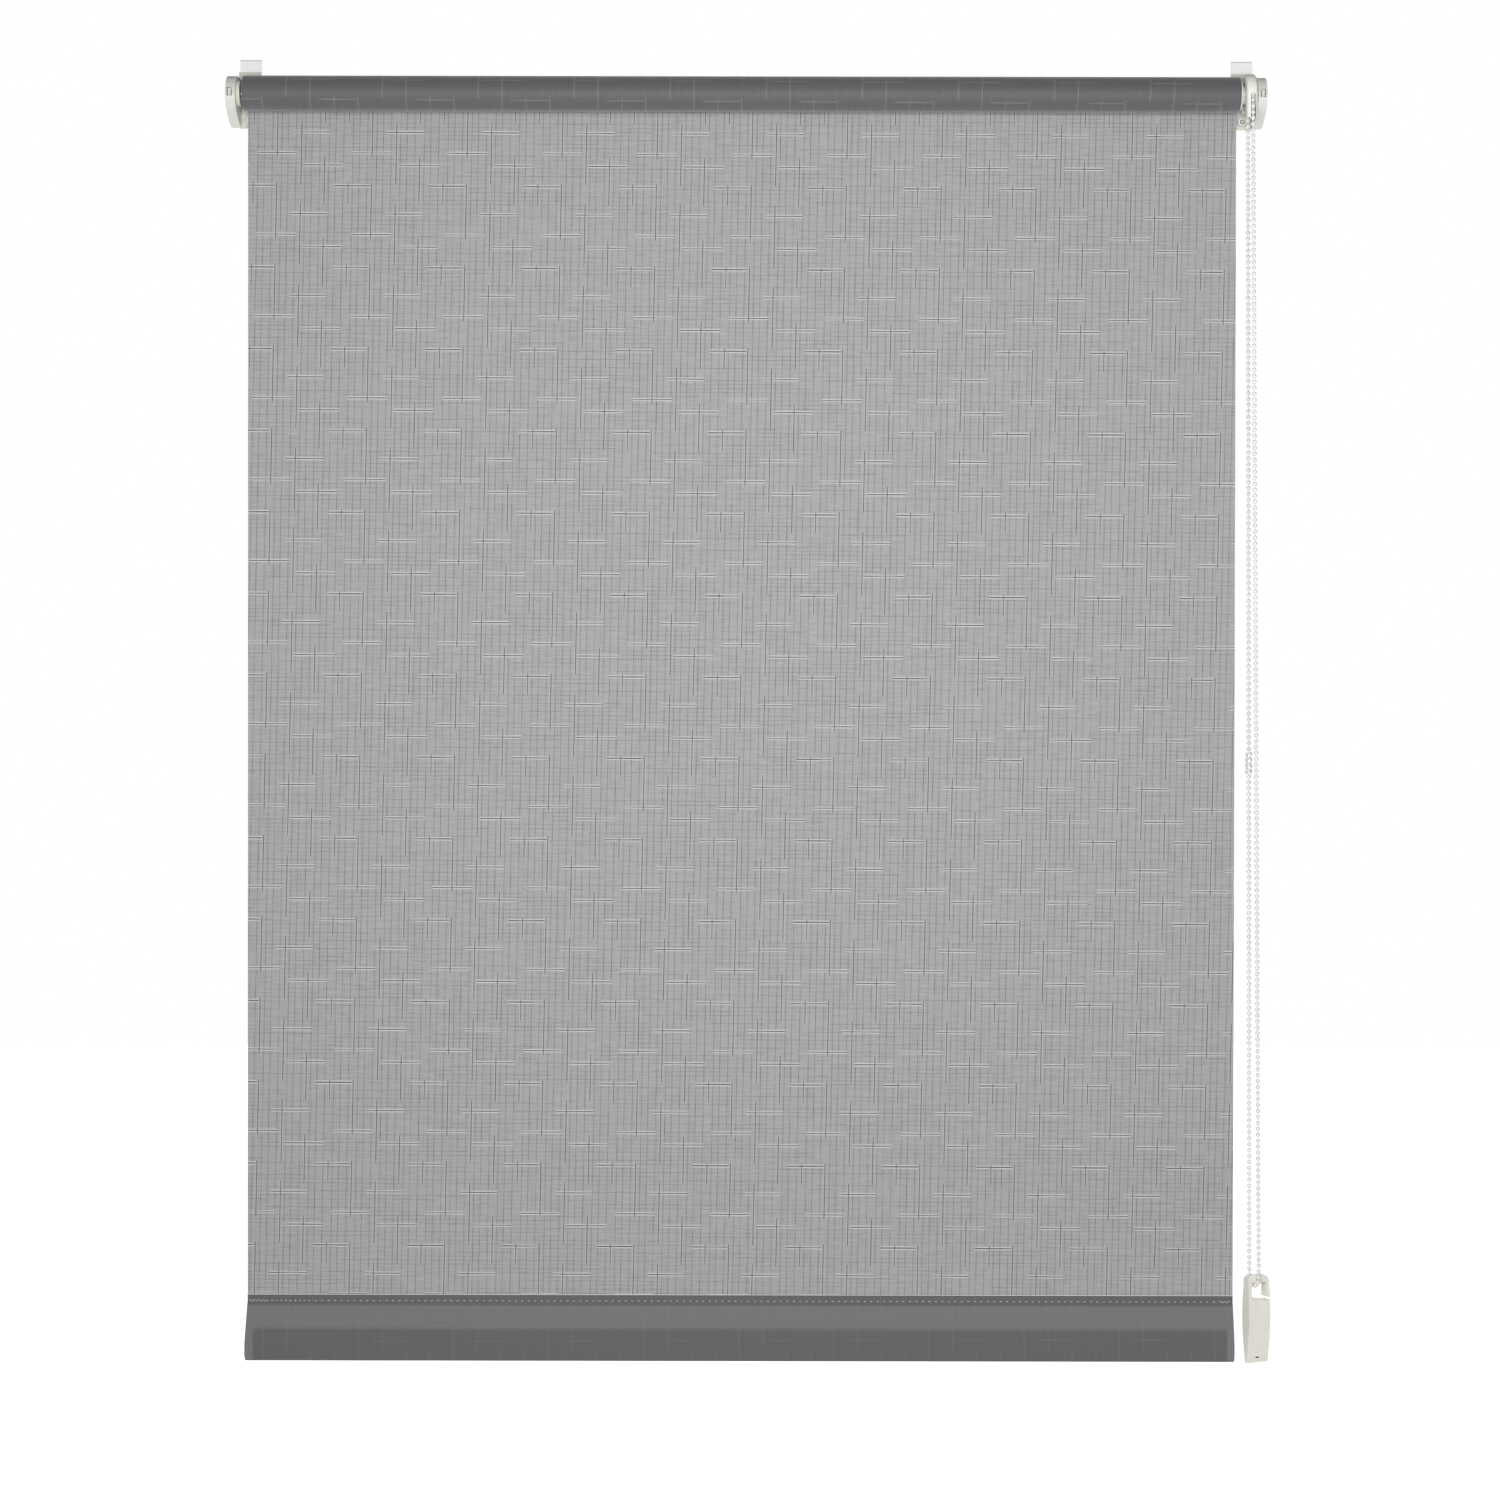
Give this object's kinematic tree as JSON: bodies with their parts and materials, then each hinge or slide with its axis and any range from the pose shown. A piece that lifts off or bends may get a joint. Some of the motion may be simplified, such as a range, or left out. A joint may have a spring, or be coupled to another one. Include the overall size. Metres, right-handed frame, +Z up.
{
  "type": "roller blind",
  "caption": "Clamp-on roller blind for a window sash, with a side bead-chain drive, woven cloth, hemmed bottom bar and chain weight.",
  "frame": {"origin": "middle of the window sash's front top edge, halfway between the two brackets", "axes": "+X to the chain side, +Y from the room into the sash, +Z up; the blind's front faces -Y"},
  "size_m": [1.0526, 0.0698, 1.3199],
  "materials": {
    "bracket_plastic": "satin moulded",
    "cap_plastic": "semi-gloss moulded",
    "plug_plastic": "satin moulded",
    "chain_plastic": "moulded beads",
    "connector_plastic": "translucent",
    "weight_plastic": "satin moulded",
    "hook_steel": "white powder coat",
    "screw_steel": "zinc plated",
    "spring_steel": "drawn wire",
    "tube_aluminium": "extruded",
    "bar_aluminium": "extruded",
    "pad_rubber": "matt",
    "cloth_front": "light grey weave with a fine line pattern",
    "cloth_back": "dark grey weave"
  },
  "bodies": {
    "headrail": {"bracket_left": "bracket_plastic", "bracket_right": "bracket_plastic", "end_cap_left": "cap_plastic", "end_cap_right": "cap_plastic", "hook_left": "hook_steel", "hook_right": "hook_steel", "hook_pad_left": "pad_rubber", "hook_pad_right": "pad_rubber", "hook_rivet_left": "screw_steel", "hook_rivet_right": "screw_steel", "clutch_axle": "plug_plastic", "axle_screw": "screw_steel", "chain_guard": "bracket_plastic", "fabric_sheet": "cloth_front", "chain": "chain_plastic", "chain_connector": "connector_plastic"},
    "roller": {"roller_tube": "tube_aluminium", "fabric_roll": "cloth_back", "idle_plug": "plug_plastic", "idle_spring": "spring_steel", "drive_plug": "plug_plastic", "chain_wheel": "plug_plastic", "wrap_spring_1": "spring_steel", "wrap_spring_2": "spring_steel"},
    "idle_pin": {"idle_pin": "screw_steel"},
    "hem_bar": {"hem": "cloth_back", "bottom_bar": "bar_aluminium", "bar_plug_left": "plug_plastic", "bar_plug_right": "plug_plastic"},
    "weight": {"chain_weight": "weight_plastic"},
    "pad_left": {"pressure_pad_left": "pad_rubber"},
    "pad_right": {"pressure_pad_right": "pad_rubber"},
    "screw_left": {"clamp_screw_left": "screw_steel"},
    "screw_right": {"clamp_screw_right": "screw_steel"}
  },
  "joints": [
    {"name": "roller_spin", "type": "hinge", "parent": "headrail", "child": "roller", "pos_m": [0, -0.028, -0.038], "axis": [1, 0, 0], "range_deg": [0, 3375]},
    {"name": "hem_lift", "type": "slide", "parent": "headrail", "child": "hem_bar", "axis": [0, 0, 1], "range_m": [0, 1.186], "deforming": ["fabric_sheet"]},
    {"name": "idle_pin_press", "type": "slide", "parent": "roller", "child": "idle_pin", "axis": [1, 0, 0], "range_m": [0, 0.006], "stiffness_N_per_m": 500, "springref_m": -0.004, "deforming": ["idle_spring"]},
    {"name": "weight_swing", "type": "hinge", "parent": "headrail", "child": "weight", "pos_m": [0.5145, -0.028, -1.2293], "axis": [0.9205, 0.3907, 0], "range_deg": [-30, 8]},
    {"name": "clamp_feed_left", "type": "slide", "parent": "headrail", "child": "pad_left", "axis": [0, 1, 0], "range_m": [0, 0.0056]},
    {"name": "clamp_turn_left", "type": "hinge", "parent": "pad_left", "child": "screw_left", "pos_m": [-0.5024, 0, -0.061], "axis": [0, 1, 0], "range_deg": [0, 2880]},
    {"name": "clamp_feed_right", "type": "slide", "parent": "headrail", "child": "pad_right", "axis": [0, 1, 0], "range_m": [0, 0.0056]},
    {"name": "clamp_turn_right", "type": "hinge", "parent": "pad_right", "child": "screw_right", "pos_m": [0.5024, 0, -0.061], "axis": [0, 1, 0], "range_deg": [0, 2880]}
  ],
  "couplings": [
    {"joint": "hem_lift", "follows": "roller_spin", "m_per_rad": 0.020117},
    {"joint": "clamp_turn_left", "follows": "clamp_feed_left", "rad_per_m": 8975},
    {"joint": "clamp_turn_right", "follows": "clamp_feed_right", "rad_per_m": 8975}
  ]
}
